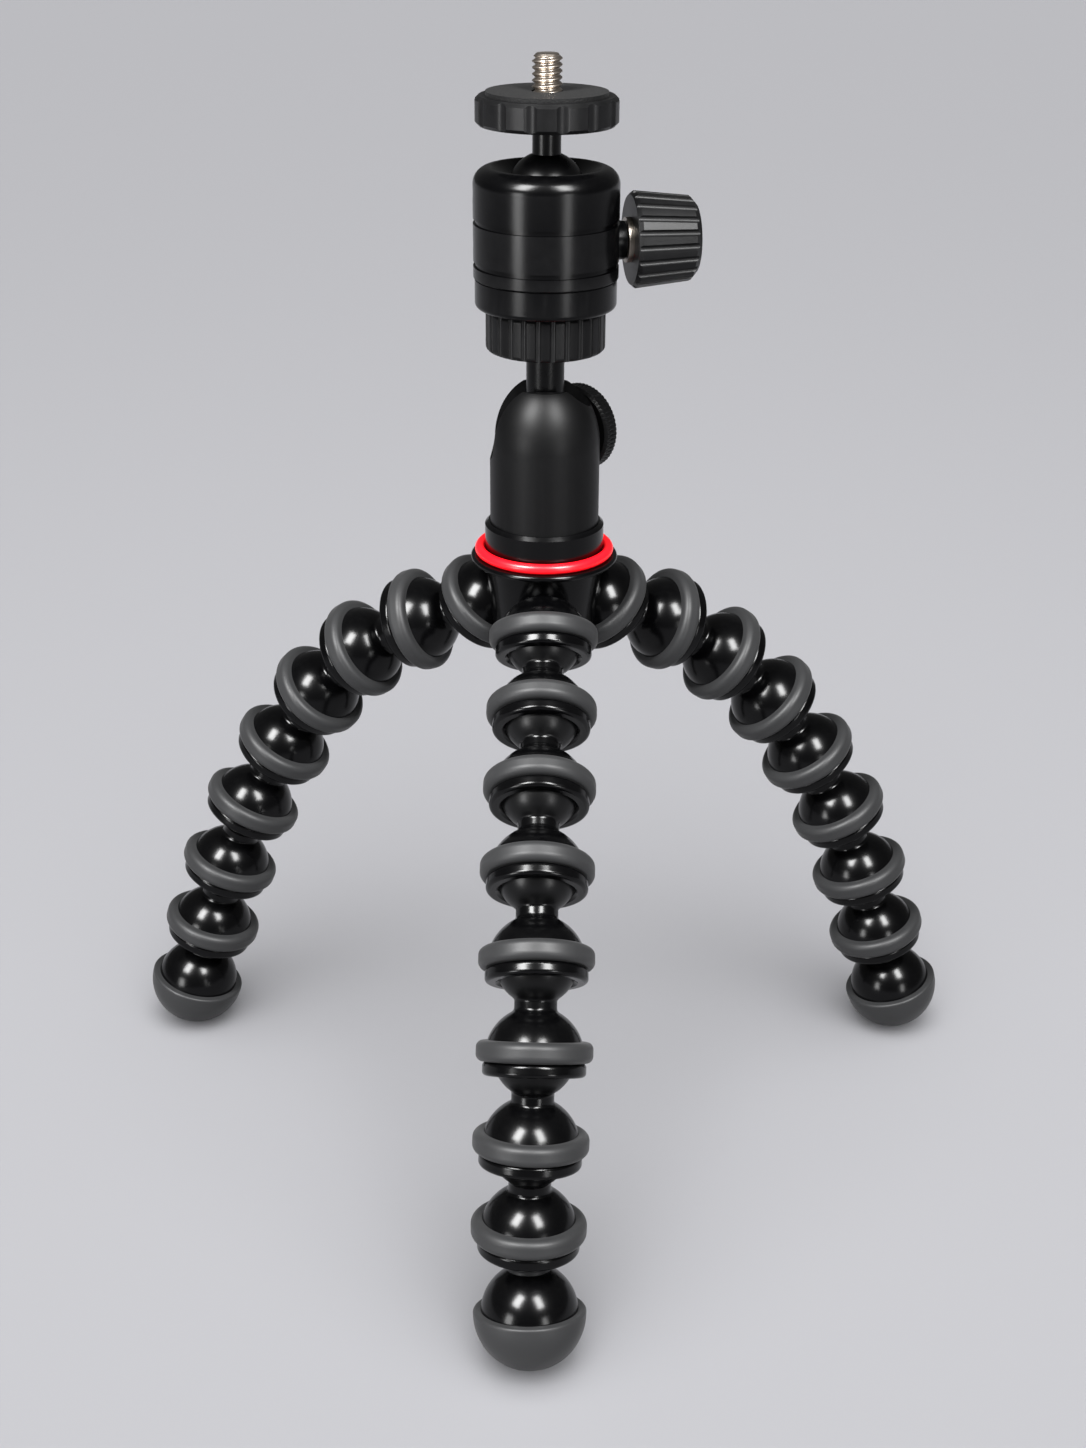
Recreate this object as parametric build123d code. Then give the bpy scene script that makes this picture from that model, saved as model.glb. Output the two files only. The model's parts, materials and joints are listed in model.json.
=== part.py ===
from build123d import *
import math
import os

# Flexible-leg tripod: a hub with three ball sockets carries three bendable legs.
# Each leg is seven equal ball-and-socket links and a rubber-shod foot.
# A small ball head stands on the hub, and a second one with a camera disc is screwed on top of it.
# Millimetres, +Z up, the floor at z = 0. The legs stand in the splayed pose of the photograph.

# Leg links
ball_radius = 8.6
ball_pole_radius = 2.5
neck_radius = 4.5
neck_fillet = 1.0
neck_gap = 0.1
socket_wall = 1.75
running_clearance = 0.05
mouth_angle = 67.0
lip_proud = 0.45
lip_length = 2.9
lip_rounding = 0.9
mouth_flare = 0.7

# Rubber rings round the sockets
ring_thickness = 2.65
ring_width = 4.4
ring_rounding = 1.5
ring_seat_depth = 0.3
ring_set_back = 1.0

# Feet
boot_thickness = 1.6
foot_neck_fillet = 0.5
foot_neck_sink = 1.5
boot_edge_rounding = 0.6
boot_edge_back = 0.8

# Hub
socket_circle_radius = 16.0
socket_angle = 48.0
rim_rise = 14.2
rim_radius = 16.75
rim_thickness = 1.4
collar_radius = 13.5
collar_height = 7.9
collar_floor = 3.8
collar_chamfer = 0.8
core_top_radius = 13.6
core_waist_radius = 11.6
core_waist_drop = 2.0
core_depth = 9.0
core_bottom_radius = 4.5
accent_tube_radius = 1.15

# Lower ball head
housing_radius = 12.3
housing_straight = 22.1
housing_height = 35.0
housing_top_radius = 6.92
spigot_radius = 6.0
spigot_length = 7.0
lower_ball_radius = 8.0
lower_ball_rise = 23.1
post_radius = 4.2
slot_clearance = 0.7
slot_lean_angle = 30.0
slot_drop_angle = 90.0
lower_cup_radius = 6.6
lower_cup_wall = 3.0
lower_cup_edge_drop = 4.8
wheel_azimuth = 50.0
wheel_radius = 9.8
wheel_thickness = 4.0
wheel_rounding = 0.5
wheel_gap = 0.3
wheel_hub_radius = 4.0
wheel_hub_height = 0.8
wheel_flat_distance = 9.7
wheel_margin = 0.6
wheel_screw_radius = 2.5
brake_gap = 0.3

# Stem and lock ring between the heads
post_height = 19.1
shoulder_radius = 5.0
shoulder_height = 1.2
stud_radius = 3.1
stud_length = 14.6
stud_chamfer = 0.6
lock_ring_radius = 13.1
lock_ring_height = 9.2
lock_ring_flutes = 26
lock_ring_flute_radius = 0.7
lock_ring_flute_depth = 0.5
lock_ring_rounding = 1.0
seat_gap = 0.05

# Upper ball head
head_radius = 15.7
head_height = 23.6
head_rounding = 3.6
head_edge_chamfer = 0.5
base_inset = 0.3
base_height = 6.2
base_rounding = 1.2
base_spigot_radius = 10.8
base_spigot_height = 4.5
upper_ball_radius = 8.4
upper_ball_rise = 18.4
opening_angle = 71.0
dish_land = 0.2
groove_width = 1.1
groove_depth = 0.45
lower_groove_rise = 3.4
upper_groove_rise = 12.4
upper_cup_radius = 8.9
upper_cup_edge_drop = 3.5
knob_azimuth = 10.0
knob_rise = 7.7
knob_gap = 2.7
knob_length = 14.2
knob_inner_radius = 10.4
knob_outer_radius = 8.9
knob_ribs = 20
knob_rib_groove_radius = 0.75
knob_chamfer = 0.9
knob_face_chamfer = 1.4
clamp_screw_radius = 2.5
clamp_screw_grip = 6.0
flange_radius = 4.8
flange_thickness = 1.1
boss_radius = 4.6
boss_tip_radius = 4.0
clamp_gap = 0.2
side_screw_radius = 1.7
side_screw_depth = 0.9

# Camera disc
upper_neck_radius = 3.05
upper_neck_length = 13.7
disc_radius = 15.15
disc_height = 6.0
disc_chamfer = 0.8
disc_notches = 14
disc_notch_radius = 2.2
disc_notch_depth = 0.55
neck_spigot_length = 3.6
pad_radius = 12.9
pad_recess = 0.4
pad_proud = 0.85
pad_bore_gap = 0.125
camera_screw_radius = 3.175
camera_screw_height = 7.5
camera_screw_root = 1.6
camera_screw_root_radius = 2.6
camera_screw_chamfer = 0.7

# One overrun serves every cut
overrun = 1.0

# Pose of each leg from the hub to the foot: its azimuth seen from above, how far each link points
# below level, and how far it swings sideways. The right leg swings the other way round.
front_azimuth = -90.0
left_azimuth = 150.0
right_azimuth = 30.0
front_down_angles = [37, 35, 39, 47, 58, 70, 77, 70]
front_swing_angles = [-1, -1, -1, 0, -1, -2, -1, 1]
left_down_angles = [22, 33, 46, 58, 65, 71, 74, 75]
left_swing_angles = [8, 5, 3, 8, 14, 11, 8, 8]
right_down_angles = [22, 36, 46, 57, 63, 71, 73, 74]
right_swing_angles = [4, 9, 11, 9, 11, 9, 7, 7]

# Sizes that follow from the ones above
cavity_radius = ball_radius + running_clearance
dome_radius = cavity_radius + socket_wall
lip_radius = dome_radius + lip_proud
foot_radius = dome_radius + boot_thickness
link_pitch = ball_radius + dome_radius + neck_gap
foot_pitch = ball_radius + dome_radius - foot_neck_sink
ring_half = ring_width / 2
ring_back = -ring_set_back - ring_half
ring_front = -ring_set_back + ring_half
lip_end = ring_front + lip_length
seat_radius = math.sqrt(dome_radius**2 - ring_back**2) - ring_seat_depth
ring_radius = seat_radius + ring_thickness
links_per_leg = len(front_down_angles) - 1
pitches = [link_pitch] * links_per_leg + [foot_pitch]


def leg_reach(down, swing):
    """Sums of the drop and of the level reach of a leg's links."""
    drop = sum(p * math.sin(math.radians(d)) * math.cos(math.radians(s))
               for p, d, s in zip(pitches, down, swing))
    reach = sum(p * math.cos(math.radians(d)) * math.cos(math.radians(s))
                for p, d, s in zip(pitches, down, swing))
    return drop, reach


def leaned(down, swing, wanted_drop):
    """The same leg leaned as a whole, so that it drops by the wanted height."""
    drop, reach = leg_reach(down, swing)
    lean = math.degrees(math.atan2(reach, drop) - math.acos(wanted_drop / math.hypot(drop, reach)))
    return [angle + lean for angle in down]


leg_drop = leg_reach(front_down_angles, front_swing_angles)[0]
hub_z = leg_drop + foot_radius
left_leaned = leaned(left_down_angles, left_swing_angles, leg_drop)
right_leaned = leaned(right_down_angles, right_swing_angles, leg_drop)
legs = {
    "front": (front_azimuth, front_down_angles, front_swing_angles),
    "left": (left_azimuth, left_leaned, left_swing_angles),
    "right": (right_azimuth, right_leaned, [-angle for angle in right_swing_angles]),
}

rim_bottom = hub_z + rim_rise
rim_top = rim_bottom + rim_thickness
collar_top = rim_top + collar_height
housing_z = rim_top + collar_floor
lower_ball_z = housing_z + lower_ball_rise
shoulder_z = lower_ball_z + post_height
lock_ring_z = shoulder_z + shoulder_height + seat_gap
base_z = lock_ring_z + lock_ring_height + seat_gap
head_z = base_z + base_height
upper_ball_z = head_z + upper_ball_rise
knob_z = head_z + knob_rise
disc_z = upper_ball_z + upper_neck_length
pad_z = disc_z + disc_height - pad_recess
pad_top = disc_z + disc_height + pad_proud
base_radius = head_radius - base_inset
dish_radius = head_radius - head_rounding - dish_land
knob_start = head_radius + knob_gap


def level_direction(azimuth):
    """Level unit vector that points away from the axis."""
    return Vector(math.cos(math.radians(azimuth)), math.sin(math.radians(azimuth)), 0)


def sideways_direction(azimuth):
    """Level unit vector square to the one above."""
    return Vector(-math.sin(math.radians(azimuth)), math.cos(math.radians(azimuth)), 0)


def link_direction(azimuth, down, swing):
    """Unit vector of a link that points down and swings sideways."""
    level = level_direction(azimuth) * math.cos(math.radians(down))
    forward = level - Vector(0, 0, 1) * math.sin(math.radians(down))
    side = sideways_direction(azimuth)
    return forward * math.cos(math.radians(swing)) + side * math.sin(math.radians(swing))


def along(point, direction, azimuth):
    """Plane at a point, its Z along a direction and its X kept level and sideways."""
    side = sideways_direction(azimuth)
    return Plane(origin=point, x_dir=side - direction * side.dot(direction), z_dir=direction)


def leg_planes(name):
    """A plane for the hub socket of a leg and one for each ball, each with Z along its piece."""
    azimuth, down, swing = legs[name]
    point = level_direction(azimuth) * socket_circle_radius + Vector(0, 0, hub_z)
    planes = [along(point, link_direction(azimuth, socket_angle, 0), azimuth)]
    for pitch, down_angle, swing_angle in zip(pitches, down, swing):
        direction = link_direction(azimuth, down_angle, swing_angle)
        planes.append(along(point, direction, azimuth))
        point = point + direction * pitch
    return planes


def on_circle(radius, angle, centre=0):
    """Point of a round outline: the angle runs from the axis, the centre lies on the axis."""
    return (radius * math.sin(math.radians(angle)), centre + radius * math.cos(math.radians(angle)))


def corner(centre, radius, start_angle, end_angle):
    """Arc about any centre, its two angles measured from the axis direction."""
    angles = (start_angle, (start_angle + end_angle) / 2, end_angle)
    points = [on_circle(radius, angle) for angle in angles]
    return ThreePointArc(*[(centre[0] + x, centre[1] + y) for x, y in points])


def turned(*outline):
    """Solid turned about Z from the closed half outline, drawn as radius and height."""
    return revolve(Plane.XZ * make_face(list(outline)), axis=Axis.Z)


def joined(*points):
    """Straight lines through the points, one after the other."""
    return [Line(a, b) for a, b in zip(points, points[1:])]


def level_plane(azimuth, height):
    """Plane on the axis at a height, its Z level and pointing away at an azimuth."""
    level = level_direction(azimuth)
    return Plane(origin=(0, 0, height), x_dir=sideways_direction(azimuth), z_dir=level)


def rod(radius, start, end):
    """Round bar or bore along Z from one place to another."""
    return Pos(0, 0, (start + end) / 2) * Cylinder(radius, end - start)


def ball_and_neck(pitch, fillet):
    """Half outline of a ball, its neck and the two hollow roundings, and the angle where the dome starts."""
    pole = math.sqrt(ball_radius**2 - ball_pole_radius**2)
    pole_angle = 180 - math.degrees(math.asin(ball_pole_radius / ball_radius))
    out = neck_radius + fillet
    low = math.sqrt((ball_radius + fillet) ** 2 - out**2)
    high = pitch - math.sqrt((dome_radius + fillet) ** 2 - out**2)
    ball_angle = math.degrees(math.asin(out / (ball_radius + fillet)))
    dome_angle = math.degrees(math.asin(out / (dome_radius + fillet)))
    outline = [
        Line((0, -pole), (ball_pole_radius, -pole)),
        corner((0, 0), ball_radius, pole_angle, ball_angle),
        corner((out, low), fillet, 180 + ball_angle, 270),
        Line((neck_radius, low), (neck_radius, high)),
        corner((out, high), fillet, 270, 360 - dome_angle),
    ]
    return outline, pole, dome_angle


def ring_seat_and_lip(centre, end_radius):
    """Half outline from the dome's edge over the ring seat and the rounded lip to its end face."""
    edge = math.sqrt(dome_radius**2 - ring_back**2)
    inside = lip_radius - lip_rounding
    back = centre + ring_back
    front = centre + ring_front
    end = centre + lip_end
    return [
        Line((edge, back), (seat_radius, back)),
        Line((seat_radius, back), (seat_radius, front)),
        Line((seat_radius, front), (inside, front)),
        corner((inside, front + lip_rounding), lip_rounding, 180, 90),
        Line((lip_radius, front + lip_rounding), (lip_radius, end - lip_rounding)),
        corner((inside, end - lip_rounding), lip_rounding, 90, 0),
        Line((inside, end), (end_radius, end)),
    ]


mouth_edge = on_circle(cavity_radius, mouth_angle)
mouth_end_radius = mouth_edge[0] + mouth_flare
shoulder_angle = math.degrees(math.acos(ring_back / dome_radius))


def leg_link():
    """One link: ball, neck, dome, ring seat and lip in one moulding, its socket hollow inside."""
    outline, pole, dome_angle = ball_and_neck(link_pitch, neck_fillet)
    centre = (0, link_pitch)
    mouth = (mouth_edge[0], link_pitch + mouth_edge[1])
    outline += [corner(centre, dome_radius, 180 - dome_angle, shoulder_angle)]
    outline += ring_seat_and_lip(link_pitch, mouth_end_radius)
    outline += [
        Line((mouth_end_radius, link_pitch + lip_end), mouth),
        corner(centre, cavity_radius, mouth_angle, 180),
        Line((0, link_pitch - cavity_radius), (0, -pole)),
    ]
    return turned(*outline)


def leg_ring(centre):
    """Rubber ring round a socket, its outer corners well rounded."""
    inside = ring_radius - ring_rounding
    back = centre + ring_back
    front = centre + ring_front
    return turned(
        Line((seat_radius, back), (inside, back)),
        corner((inside, back + ring_rounding), ring_rounding, 180, 90),
        Line((ring_radius, back + ring_rounding), (ring_radius, front - ring_rounding)),
        corner((inside, front - ring_rounding), ring_rounding, 90, 0),
        Line((inside, front), (seat_radius, front)),
        Line((seat_radius, front), (seat_radius, back)),
    )


def foot_shell():
    """Ball, neck and closed dome of a foot."""
    outline, pole, dome_angle = ball_and_neck(foot_pitch, foot_neck_fillet)
    outline += [
        corner((0, foot_pitch), dome_radius, 180 - dome_angle, 0),
        Line((0, foot_pitch + dome_radius), (0, -pole)),
    ]
    return turned(*outline)


def foot_boot():
    """Rubber boot over the outer half of a foot's dome."""
    centre = (0, foot_pitch)
    inside = foot_radius - boot_edge_rounding
    edge = foot_pitch - boot_edge_back
    edge_angle = math.degrees(math.acos(-boot_edge_back / dome_radius))
    return turned(
        Line((0, foot_pitch + dome_radius), (0, foot_pitch + foot_radius)),
        corner(centre, foot_radius, 0, 90),
        Line((foot_radius, foot_pitch), (foot_radius, edge + boot_edge_rounding)),
        corner((inside, edge + boot_edge_rounding), boot_edge_rounding, 90, 180),
        Line((inside, edge), (dome_radius * math.sin(math.radians(edge_angle)), edge)),
        corner(centre, dome_radius, edge_angle, 0),
    )


def socket_block():
    """Outside of a hub socket, still filled, its centre at the origin and its mouth towards +Z."""
    return turned(
        corner((0, 0), dome_radius, 180, shoulder_angle),
        *ring_seat_and_lip(0, 0),
        Line((0, lip_end), (0, -dome_radius)),
    )


def socket_bore():
    """Room that a ball takes in a hub socket, with the flared mouth."""
    slope = mouth_flare / (lip_end - mouth_edge[1])
    top = (mouth_end_radius + overrun * slope, lip_end + overrun)
    return turned(
        corner((0, 0), cavity_radius, 180, mouth_angle),
        Line(mouth_edge, top),
        Line(top, (0, lip_end + overrun)),
        Line((0, lip_end + overrun), (0, -cavity_radius)),
    )


core_bulge_shares = (0.76, 0.34)
collar_bore_radius = housing_radius + running_clearance


def hub_core():
    """Middle of the hub turned about the axis: rounded belly, rim disc, collar and the bores in them."""
    belly_bottom = hub_z - core_depth
    belly_top = hub_z - core_waist_drop
    bulge = (
        core_bottom_radius + (core_waist_radius - core_bottom_radius) * core_bulge_shares[0],
        belly_bottom + (belly_top - belly_bottom) * core_bulge_shares[1],
    )
    rim_half = rim_thickness / 2
    rim_inside = rim_radius - rim_half
    spigot_bore = spigot_radius + running_clearance
    spigot_end = housing_z - spigot_length - seat_gap
    return turned(
        Line((0, belly_bottom), (core_bottom_radius, belly_bottom)),
        ThreePointArc((core_bottom_radius, belly_bottom), bulge, (core_waist_radius, belly_top)),
        *joined(
            (core_waist_radius, belly_top),
            (core_top_radius, rim_bottom),
            (rim_inside, rim_bottom),
        ),
        corner((rim_inside, rim_bottom + rim_half), rim_half, 180, 0),
        *joined(
            (rim_inside, rim_top),
            (collar_radius, rim_top),
            (collar_radius, collar_top - collar_chamfer),
            (collar_radius - collar_chamfer, collar_top),
            (collar_bore_radius, collar_top),
            (collar_bore_radius, housing_z),
            (spigot_bore, housing_z),
            (spigot_bore, spigot_end),
            (0, spigot_end),
            (0, belly_bottom),
        ),
    )


def hub_body():
    """Hub in one moulding: the core with three tilted sockets, and room round them for their rings."""
    sockets = [leg_planes(name)[0] for name in legs]
    body = hub_core()
    for socket in sockets:
        body -= socket * rod(ring_radius + running_clearance, ring_back, lip_end + foot_radius)
    for socket in sockets:
        body += socket * socket_block()
    for socket in sockets:
        body -= socket * socket_bore()
    return body


def accent_ring():
    """Red ring that lies on the rim, round the foot of the collar."""
    return Pos(0, 0, rim_top + accent_tube_radius) * Torus(
        collar_radius + accent_tube_radius, accent_tube_radius
    )


lower_cavity_radius = lower_ball_radius + running_clearance
slot_half_width = post_radius + slot_clearance


def drop_slot():
    """Slot in which the post of the lower ball tilts: a fan about the ball with two round ends."""
    reach = housing_height - lower_ball_rise + housing_radius + overrun
    ends = (-slot_drop_angle, slot_lean_angle)
    middle = (slot_lean_angle - slot_drop_angle) / 2
    start, top, end = (on_circle(reach, angle) for angle in (ends[0], middle, ends[1]))
    outline = [Line((0, 0), start), ThreePointArc(start, top, end), Line(end, (0, 0))]
    slot = extrude(Plane.XZ * make_face(outline), amount=slot_half_width, both=True)
    for angle in ends:
        slot += Rot(0, angle, 0) * rod(slot_half_width, 0, reach)
    return slot


def housing_blank():
    """Lower ball housing before its cuts: spigot, straight body and rounded crown with a flat top."""
    straight_top = housing_z + housing_straight
    top_angle = math.degrees(math.acos(housing_top_radius / housing_radius))
    crown_height = (housing_height - housing_straight) / math.sin(math.radians(top_angle))
    crown = EllipticalCenterArc(
        (0, straight_top), housing_radius, crown_height, start_angle=0, arc_size=top_angle
    )
    return turned(
        *joined(
            (0, housing_z - spigot_length),
            (spigot_radius, housing_z - spigot_length),
            (spigot_radius, housing_z),
            (housing_radius, housing_z),
            (housing_radius, straight_top),
        ),
        crown,
        *joined(
            (housing_top_radius, housing_z + housing_height),
            (0, housing_z + housing_height),
            (0, housing_z - spigot_length),
        ),
    )


def lower_housing():
    """Lower ball housing with its cavity, drop slot, cup bore, and flat and screw hole for the wheel."""
    ball = Pos(0, 0, lower_ball_z)
    wheel = level_plane(wheel_azimuth, lower_ball_z)
    cup_bottom = lower_cavity_radius + lower_cup_wall
    body = housing_blank()
    body -= ball * Sphere(lower_cavity_radius)
    body -= ball * rod(lower_cup_radius + running_clearance, -cup_bottom, 0)
    body -= ball * drop_slot()
    body -= wheel * rod(wheel_radius + wheel_margin, wheel_flat_distance, housing_radius + overrun)
    body -= wheel * rod(wheel_screw_radius + running_clearance, 0, housing_radius)
    return body


def lower_cup():
    """Friction cup under the lower ball."""
    cup = rod(lower_cup_radius, -lower_cavity_radius - lower_cup_wall, -lower_cup_edge_drop)
    return Pos(0, 0, lower_ball_z) * (cup - Sphere(lower_cavity_radius))


def lock_wheel():
    """Thumb wheel behind the lower ball, with a low hub and the screw that clamps the ball."""
    start = wheel_flat_distance + wheel_gap
    end = start + wheel_thickness
    inside = wheel_radius - wheel_rounding
    wheel = turned(
        Line((0, start), (inside, start)),
        corner((inside, start + wheel_rounding), wheel_rounding, 180, 90),
        Line((wheel_radius, start + wheel_rounding), (wheel_radius, end - wheel_rounding)),
        corner((inside, end - wheel_rounding), wheel_rounding, 90, 0),
        *joined(
            (inside, end),
            (wheel_hub_radius, end),
            (wheel_hub_radius, end + wheel_hub_height),
            (0, end + wheel_hub_height),
            (0, start),
        ),
    )
    wheel += rod(wheel_screw_radius, lower_ball_radius + brake_gap, start)
    return level_plane(wheel_azimuth, lower_ball_z) * wheel


def lower_stem():
    """Lower ball with its post, the shoulder under the lock ring and the stud for the upper head."""
    post_angle = math.degrees(math.asin(post_radius / lower_ball_radius))
    shoulder_top = post_height + shoulder_height
    stud_top = shoulder_top + stud_length
    stem = turned(
        corner((0, 0), lower_ball_radius, 180, post_angle),
        *joined(
            on_circle(lower_ball_radius, post_angle),
            (post_radius, post_height),
            (shoulder_radius, shoulder_top),
            (stud_radius, shoulder_top),
            (stud_radius, stud_top - stud_chamfer),
            (stud_radius - stud_chamfer, stud_top),
            (0, stud_top),
            (0, -lower_ball_radius),
        ),
    )
    return Pos(0, 0, lower_ball_z) * stem


def lock_ring():
    """Fluted ring on the stud that locks the upper head."""
    inside = lock_ring_radius - lock_ring_rounding
    upper_edge = lock_ring_height - lock_ring_rounding
    bore = stud_radius + running_clearance
    ring = turned(
        Line((bore, 0), (inside, 0)),
        corner((inside, lock_ring_rounding), lock_ring_rounding, 180, 90),
        Line((lock_ring_radius, lock_ring_rounding), (lock_ring_radius, upper_edge)),
        corner((inside, upper_edge), lock_ring_rounding, 90, 0),
        *joined((inside, lock_ring_height), (bore, lock_ring_height), (bore, 0)),
    )
    flute_place = lock_ring_radius + lock_ring_flute_radius - lock_ring_flute_depth
    flute = Pos(flute_place, 0, 0) * rod(lock_ring_flute_radius, -overrun, lock_ring_height + overrun)
    for index in range(lock_ring_flutes):
        ring -= Rot(0, 0, 360 * index / lock_ring_flutes) * flute
    return Pos(0, 0, lock_ring_z) * ring


upper_cavity_radius = upper_ball_radius + running_clearance
boss_end = knob_start - flange_thickness - clamp_gap


def upper_base():
    """Base plate of the upper head, with the blind hole for the stud and a spigot into the body."""
    inside = base_radius - base_rounding
    bore = stud_radius + running_clearance
    bore_top = lower_ball_z + post_height + shoulder_height + stud_length + seat_gap - base_z
    spigot_top = base_height + base_spigot_height
    base = turned(
        Line((bore, 0), (inside, 0)),
        corner((inside, base_rounding), base_rounding, 180, 90),
        *joined(
            (base_radius, base_rounding),
            (base_radius, base_height),
            (base_spigot_radius, base_height),
            (base_spigot_radius, spigot_top),
            (0, spigot_top),
            (0, bore_top),
            (bore, bore_top),
            (bore, 0),
        ),
    )
    return Pos(0, 0, base_z) * base


def upper_cup():
    """Friction cup that stands on the base and carries the upper ball."""
    cup = rod(upper_cup_radius, base_spigot_height - upper_ball_rise, -upper_cup_edge_drop)
    return Pos(0, 0, upper_ball_z) * (cup - Sphere(upper_cavity_radius))


def grooved_side(rise):
    """Points of a square groove in the side of the upper head, from below."""
    bottom = rise - groove_width / 2
    top = rise + groove_width / 2
    inside = head_radius - groove_depth
    return [(head_radius, bottom), (inside, bottom), (inside, top), (head_radius, top)]


def upper_body():
    """Upper ball housing: rounded top with a dish, two grooves, bores inside and a boss for the clamp."""
    base_bore = base_spigot_radius + running_clearance
    cup_bore = upper_cup_radius + running_clearance
    cup_bore_top = upper_ball_rise - upper_cup_edge_drop
    cup_bore_angle = 90 + math.degrees(math.asin(upper_cup_edge_drop / upper_cavity_radius))
    cavity_foot = on_circle(upper_cavity_radius, cup_bore_angle, upper_ball_rise)
    opening = on_circle(upper_cavity_radius, opening_angle, upper_ball_rise)
    rounding_start = head_height - head_rounding
    inside = head_radius - head_rounding
    body = turned(
        *joined(
            (base_bore, 0),
            (head_radius - head_edge_chamfer, 0),
            (head_radius, head_edge_chamfer),
            *grooved_side(lower_groove_rise),
            *grooved_side(upper_groove_rise),
            (head_radius, rounding_start),
        ),
        corner((inside, rounding_start), head_rounding, 90, 0),
        *joined((inside, head_height), (dish_radius, head_height), opening),
        corner((0, upper_ball_rise), upper_cavity_radius, opening_angle, cup_bore_angle),
        *joined(
            cavity_foot,
            (cup_bore, cup_bore_top),
            (cup_bore, base_spigot_height),
            (base_bore, base_spigot_height),
            (base_bore, 0),
        ),
    )
    clamp = level_plane(knob_azimuth, knob_rise)
    boss_root = (head_radius + base_bore) / 2
    boss = Pos(0, 0, boss_root) * Cone(
        boss_radius, boss_tip_radius, boss_end - boss_root, align=(Align.CENTER, Align.CENTER, Align.MIN)
    )
    body += clamp * boss
    body -= clamp * rod(clamp_screw_radius + running_clearance, upper_cup_radius, boss_end + overrun)
    for rise in (knob_rise, upper_ball_rise):
        recess = rod(side_screw_radius, head_radius - side_screw_depth, head_radius + overrun)
        body -= level_plane(180, rise) * recess
    return Pos(0, 0, head_z) * body


def clamp_screw():
    """Steel screw of the clamp knob, with the flange that shows between knob and boss."""
    screw = rod(clamp_screw_radius, upper_cup_radius + brake_gap, knob_start + clamp_screw_grip)
    screw += rod(flange_radius, knob_start - flange_thickness, knob_start)
    return level_plane(knob_azimuth, knob_z) * screw


def clamp_knob():
    """Tapered knob with long ribs round it, drawn along Z from its inner face."""
    bore = clamp_screw_radius + running_clearance
    taper = knob_inner_radius - knob_outer_radius
    slope = taper / knob_length
    knob = turned(
        *joined(
            (bore, 0),
            (knob_inner_radius - knob_chamfer, 0),
            (knob_inner_radius - slope * knob_chamfer, knob_chamfer),
            (knob_outer_radius + slope * knob_face_chamfer, knob_length - knob_face_chamfer),
            (knob_outer_radius - knob_face_chamfer, knob_length),
            (0, knob_length),
            (0, clamp_screw_grip + seat_gap),
            (bore, clamp_screw_grip + seat_gap),
            (bore, 0),
        )
    )
    middle_radius = (knob_inner_radius + knob_outer_radius) / 2
    lean = math.degrees(math.atan(slope))
    groove = Pos(middle_radius, 0, knob_length / 2) * Rot(0, -lean, 0) * Cylinder(
        knob_rib_groove_radius, knob_length + 2 * overrun
    )
    for index in range(knob_ribs):
        knob -= Rot(0, 0, 360 * index / knob_ribs) * groove
    return level_plane(knob_azimuth, knob_z) * Pos(0, 0, knob_start) * knob


def upper_stem():
    """Upper ball with its neck, which ends in a spigot inside the camera disc."""
    neck_angle = math.degrees(math.asin(upper_neck_radius / upper_ball_radius))
    top = upper_neck_length + neck_spigot_length
    stem = turned(
        corner((0, 0), upper_ball_radius, 180, neck_angle),
        *joined(
            on_circle(upper_ball_radius, neck_angle),
            (upper_neck_radius, top),
            (0, top),
            (0, -upper_ball_radius),
        ),
    )
    return Pos(0, 0, upper_ball_z) * stem


def camera_disc():
    """Notched disc under the camera, recessed for the pad and bored for the neck and the screw."""
    neck_bore = upper_neck_radius + running_clearance
    screw_bore = camera_screw_root_radius + running_clearance
    recess = pad_radius + running_clearance
    recess_floor = disc_height - pad_recess
    disc = turned(
        *joined(
            (neck_bore, 0),
            (disc_radius - disc_chamfer, 0),
            (disc_radius, disc_chamfer),
            (disc_radius, disc_height - disc_chamfer),
            (disc_radius - disc_chamfer, disc_height),
            (recess, disc_height),
            (recess, recess_floor),
            (screw_bore, recess_floor),
            (screw_bore, recess_floor - camera_screw_root),
            (0, recess_floor - camera_screw_root),
            (0, neck_spigot_length + seat_gap),
            (neck_bore, neck_spigot_length + seat_gap),
            (neck_bore, 0),
        )
    )
    notch_place = disc_radius + disc_notch_radius - disc_notch_depth
    notch = Pos(notch_place, 0, 0) * rod(disc_notch_radius, -overrun, disc_height + overrun)
    for index in range(disc_notches):
        disc -= Rot(0, 0, 360 * index / disc_notches) * notch
    return Pos(0, 0, disc_z) * disc


def camera_pad():
    """Rubber pad in the recess of the disc, pierced for the screw."""
    hole = camera_screw_radius + pad_bore_gap
    return rod(pad_radius, pad_z, pad_top) - rod(hole, pad_z - overrun, pad_top + overrun)


def camera_screw():
    """Camera screw at its thread's outer size, its tip bevelled and its root held in the disc."""
    tip = pad_top + camera_screw_height
    return turned(
        *joined(
            (0, pad_z - camera_screw_root),
            (camera_screw_root_radius, pad_z - camera_screw_root),
            (camera_screw_root_radius, pad_top),
            (camera_screw_radius, pad_top),
            (camera_screw_radius, tip - camera_screw_chamfer),
            (camera_screw_radius - camera_screw_chamfer, tip),
            (0, tip),
            (0, pad_z - camera_screw_root),
        )
    )


def leg_pieces(name, link, ring, foot):
    """The links, rings and foot of one leg, each at its ball."""
    balls = leg_planes(name)[1:]
    pieces = {}
    for index, ball in enumerate(balls[:-1], start=1):
        pieces[f"link_{name}_{index}"] = ball * link
        pieces[f"ring_{name}_{index}"] = ball * ring
    pieces[f"foot_{name}"] = Compound([balls[-1] * piece for piece in foot])
    return pieces


def foot_centre(name):
    """Centre of a leg's round foot."""
    last = leg_planes(name)[-1]
    return last.origin + last.z_dir * foot_pitch


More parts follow.
